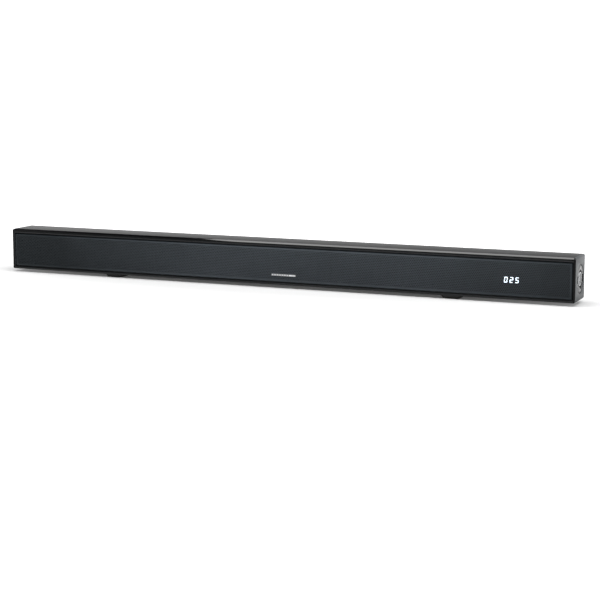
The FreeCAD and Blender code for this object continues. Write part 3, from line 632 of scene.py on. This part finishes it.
# %% Power button
low, high = (Vector(corner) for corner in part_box("button_power"))
centre = (low + high) / 2
radius = (high.z - low.z) / 2
FACE_X = high.x
PLATE, STEM_RADIUS, BRIGHT_RING = 1.8 * MM, 4.6 * MM, 2.1 * MM
TURN_TO_SIDE = (0, math.radians(90), 0)
bpy.ops.object.select_all(action="DESELECT")
bpy.ops.mesh.primitive_cylinder_add(vertices=72, radius=radius, depth=PLATE, rotation=TURN_TO_SIDE,
                                    location=(FACE_X - PLATE / 2, centre.y, centre.z))
power = settle(bpy.context.object)
power.name = "power_button"
edit(power)
# Each inset leaves a ring behind: the flat rim, the slope into the dish, and the dish's gentle fall.
pick(power, "faces", lambda face: face.normal.x > 0.9)
bpy.ops.mesh.inset(thickness=1.5 * MM)
bpy.ops.mesh.inset(thickness=0.5 * MM)
bpy.ops.transform.translate(value=(-0.45 * MM, 0, 0))
bpy.ops.mesh.inset(thickness=3 * MM)
bpy.ops.transform.translate(value=(-0.15 * MM, 0, 0))
round_edges(power, lambda edge: middle(edge).x > FACE_X - HAIR
            and (middle(edge) - centre).yz.length > radius * 0.97, 0.5 * MM, 3)
pick(power, "faces", lambda face: face.normal.x < -0.9)
bpy.ops.mesh.inset(thickness=radius - STEM_RADIUS)
push((low.x - FACE_X + PLATE, 0, 0))
leave()
mount(smooth(power), plain["key_gloss"], ("button_power",), "button_power")
two_tone(power, plain["key_dark"], lambda face: abs(face.normal.x) < 0.1
         or (face.center - centre).yz.length < radius - BRIGHT_RING)

# %% Volume crescents and their marks
GAP_RADIUS = radius + 1.6 * MM
for key in ("button_volume_up", "button_volume_down"):
    crescent = softened(key, 0.45 * MM, 3)
    edit(crescent, "VERT")
    pick(crescent, "verts", lambda vert: (vert.co - centre).yz.length < GAP_RADIUS)
    bpy.ops.transform.resize(value=(1, 1.09, 1.09), center_override=centre)
    leave()
    mount(crescent, plain["key_dark"], (key,), key)


def mark(name, corners, body):
    """A fine white printed mark on a key."""
    piece = block(name, *corners)
    edit(piece, "EDGE")
    round_edges(piece, lambda edge: along(edge, 0), 0.2 * MM, 2)
    leave()
    mount(piece, plain["mark_white"], (), body)


def strip(y, z, wide, tall, x=FACE_X):
    """The two corners of a mark that lies on a key's face."""
    return ((x - 0.05 * MM, y - wide / 2, z - tall / 2), (x + 0.06 * MM, y + wide / 2, z + tall / 2))


MARK_RISE, MARK_LINE = 15.4 * MM, 0.6 * MM
for sign, key in ((1, "button_volume_up"), (-1, "button_volume_down")):
    mark_z = centre.z + sign * MARK_RISE
    mark(key + "_bar", strip(centre.y, mark_z, 3.2 * MM, MARK_LINE), key)
    if sign > 0:
        for end, shift in (("high", 0.95 * MM), ("low", -0.95 * MM)):
            mark(key + "_post_" + end, strip(centre.y, mark_z + shift, MARK_LINE, 1.3 * MM), key)
bpy.ops.object.select_all(action="DESELECT")
dish_x = FACE_X - 0.6 * MM
bpy.ops.mesh.primitive_torus_add(major_segments=40, minor_segments=8, major_radius=2.6 * MM,
                                 minor_radius=0.28 * MM, rotation=TURN_TO_SIDE,
                                 location=(dish_x, centre.y, centre.z))
loop = settle(bpy.context.object)
loop.name = "power_mark_loop"
edit(loop)
pick(loop, "faces", lambda face: face.calc_center_median().z > centre.z
     and abs(face.calc_center_median().y - centre.y) < 1.0 * MM)
bpy.ops.mesh.delete(type="FACE")
bpy.ops.mesh.select_all(action="SELECT")
bpy.ops.mesh.fill_holes(sides=0)
leave()
mount(smooth(loop), plain["mark_white"], (), "button_power")
mark("power_mark_stroke",
     strip(centre.y, centre.z + 2.4 * MM, 0.55 * MM, 2.6 * MM, dish_x + 0.1 * MM), "button_power")

# %% [markdown]
# ## The feet
# Each foot is one rubber block with rounded corners, sides that taper towards the sole, and a softened
# edge round the sole.

# %% Feet
for node in ("foot_left", "foot_right"):
    low, high = (Vector(corner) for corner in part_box(node))
    foot = block(node + "_rubber", low, high)
    edit(foot, "EDGE")
    round_edges(foot, lambda edge: along(edge, 2), 4 * MM, 8)
    pick(foot, "edges", lambda edge: middle(edge).z < low.z + HAIR)
    bpy.ops.transform.resize(value=(0.8, 0.92, 1), center_override=(low + high) / 2)
    bpy.ops.mesh.bevel(offset=0.7 * MM, segments=3)
    leave()
    mount(smooth(foot), plain["foot_rubber"], (node,))

# %% [markdown]
# ## Studio
# A plain white floor, a white surround that darkens overhead, and one wide softbox above the bar whose
# reflection lies along the glossy bevel.

# %% Floor
bpy.ops.object.select_all(action="DESELECT")
bpy.ops.mesh.primitive_plane_add(size=30, location=(0, 0, 0))
floor = bpy.context.object
floor.name = "floor"
# The paper glows softly, least under the bar, so that it burns out to white but keeps the shadow.
floor_paper = Finish("floor_paper", (0.6, 0.6, 0.6), 0.9)
floor_paper.drive("Base Color", floor_paper.blend(floor_paper.noise(0.4), (0.595, 0.595, 0.595),
                                                  (0.605, 0.605, 0.605)))
distance = floor_paper.node("ShaderNodeVectorMath", {"operation": "LENGTH"},
                            {0: floor_paper.place((0.25, 1, 1))}, 1)
glow = floor_paper.node("ShaderNodeMapRange", {"interpolation_type": "SMOOTHSTEP"},
                        {"Value": distance, "From Min": 0.06, "From Max": 0.3})
floor_paper.drive("Emission Color", floor_paper.blend(glow, (0.07, 0.07, 0.07), (1, 1, 1)))
floor_paper.shader.inputs["Emission Strength"].default_value = 1.0
floor.data.materials.append(floor_paper.material)
print("floor ready")

# %% Surround
# Its light fades overhead, and it is dimmer on the side that the bar's front faces.
world = bpy.data.worlds.new("studio")
scene.world = world
world.use_nodes = True
tree = world.node_tree
direction = tree.nodes.new("ShaderNodeTexCoord")
parts = tree.nodes.new("ShaderNodeSeparateXYZ")
tree.links.new(direction.outputs["Generated"], parts.inputs[0])
BY_HEIGHT, BY_SIDE = ((0.3, 1.0), (0.75, 0.05)), ((0.35, 0.45), (0.55, 1.0))
shades = []
for stops in (BY_HEIGHT, BY_SIDE):
    fade = tree.nodes.new("ShaderNodeValToRGB")
    for element, (place, level) in zip(fade.color_ramp.elements, stops):
        element.position, element.color = place, (level, level, level, 1)
    shades.append(fade)
shift = tree.nodes.new("ShaderNodeMath")
shift.operation = "MULTIPLY_ADD"
shift.inputs[1].default_value, shift.inputs[2].default_value = 0.5, 0.5
tree.links.new(parts.outputs["Y"], shift.inputs[0])
tree.links.new(parts.outputs["Z"], shades[0].inputs[0])
tree.links.new(shift.outputs[0], shades[1].inputs[0])
product = tree.nodes.new("ShaderNodeMix")
product.data_type, product.blend_type = "RGBA", "MULTIPLY"
product.inputs[0].default_value = 1.0
tree.links.new(shades[0].outputs[0], product.inputs[6])
tree.links.new(shades[1].outputs[0], product.inputs[7])
tree.links.new(product.outputs[2], tree.nodes["Background"].inputs["Color"])
tree.nodes["Background"].inputs["Strength"].default_value = 1.1
print("surround ready")

# %% Softbox
# An area light shines straight down until it is turned, so this one only needs lifting.
softbox = bpy.data.lights.new("overhead_softbox", "AREA")
softbox.shape, softbox.size, softbox.size_y, softbox.energy = "RECTANGLE", 2.4, 1.2, 55
lamp = bpy.data.objects.new("overhead_softbox", softbox)
scene.collection.objects.link(lamp)
lamp.location = (0.2, -0.25, 1.7)
scene.view_settings.view_transform = "Standard"
print("softbox", softbox.energy, "W")
